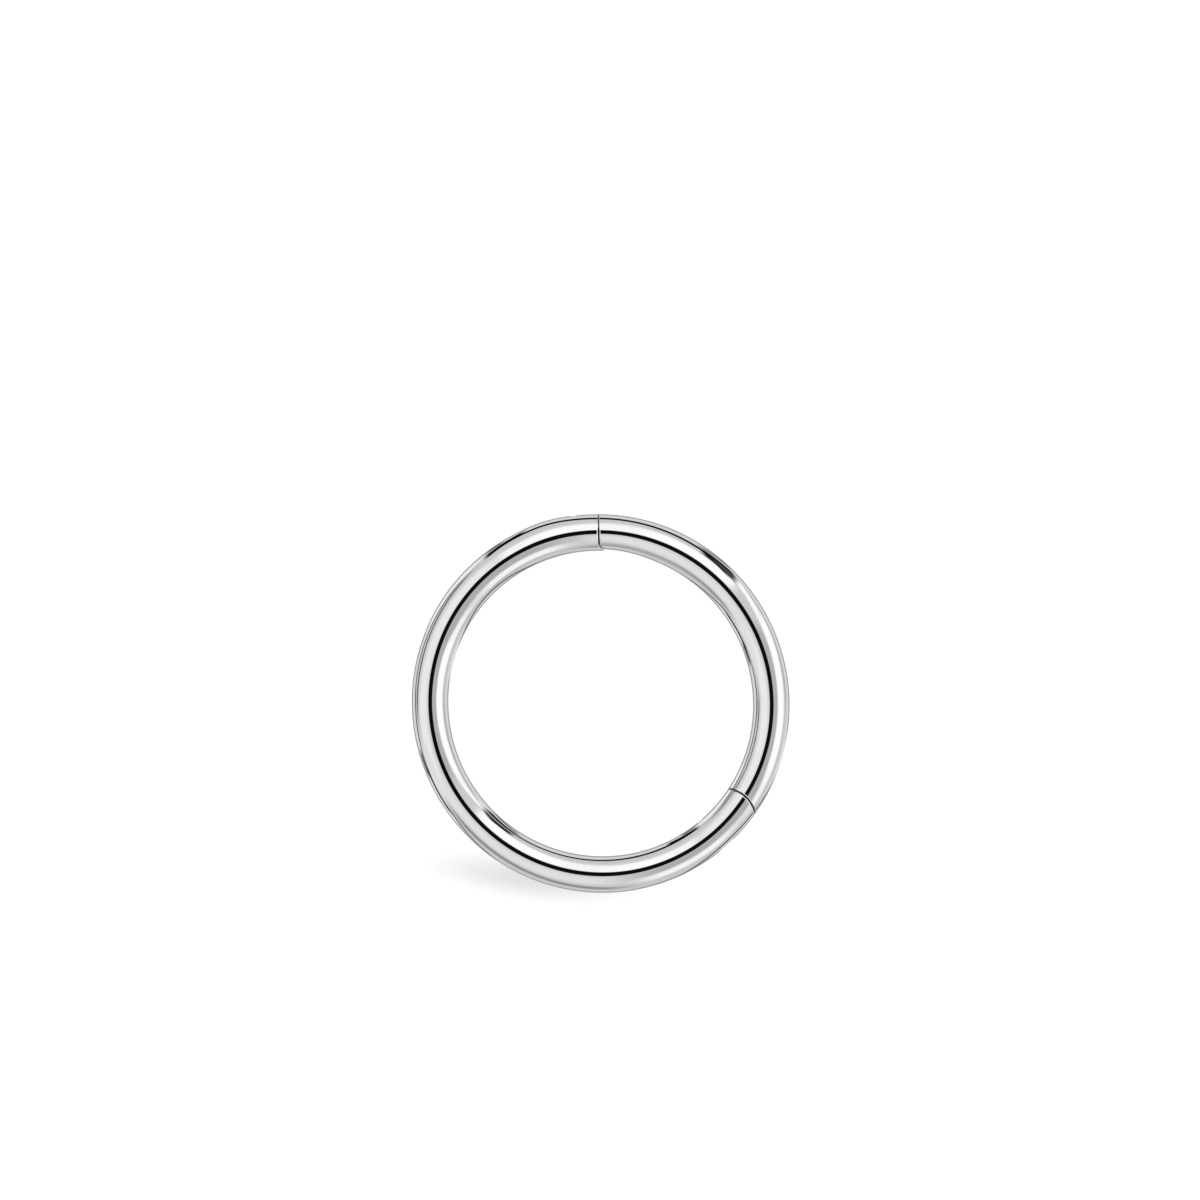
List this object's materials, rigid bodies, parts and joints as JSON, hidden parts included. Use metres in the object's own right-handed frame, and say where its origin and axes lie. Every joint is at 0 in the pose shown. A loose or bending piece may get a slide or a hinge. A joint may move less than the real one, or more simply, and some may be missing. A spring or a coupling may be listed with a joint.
{
  "type": "hinged hoop earring",
  "caption": "Round-wire hoop earring in polished white metal, closed by a hinged segment that swings outwards and shuts on a tab.",
  "frame": {"origin": "on the hoop's axis, on the surface that the hoop lies on", "axes": "+Z along the hoop's axis, away from that surface; +Y from the axis towards the clasp seam; +X to the right as seen from above, with the hinge at lower right"},
  "size_m": [0.0124, 0.0124, 0.0012],
  "materials": {
    "polished_metal": "mirror polish",
    "pin_metal": "dressed flush and polished, slightly duller than the wire"
  },
  "bodies": {
    "hoop": {"hoop_arc": "polished_metal", "hinge_pin": "pin_metal"},
    "segment": {"hinged_segment": "polished_metal"}
  },
  "joints": [
    {"name": "segment_hinge", "type": "hinge", "parent": "hoop", "child": "segment", "pos_m": [0.00404, -0.00381, 0.0006], "axis": [0, 0, -1], "range_deg": [0, 100]}
  ]
}
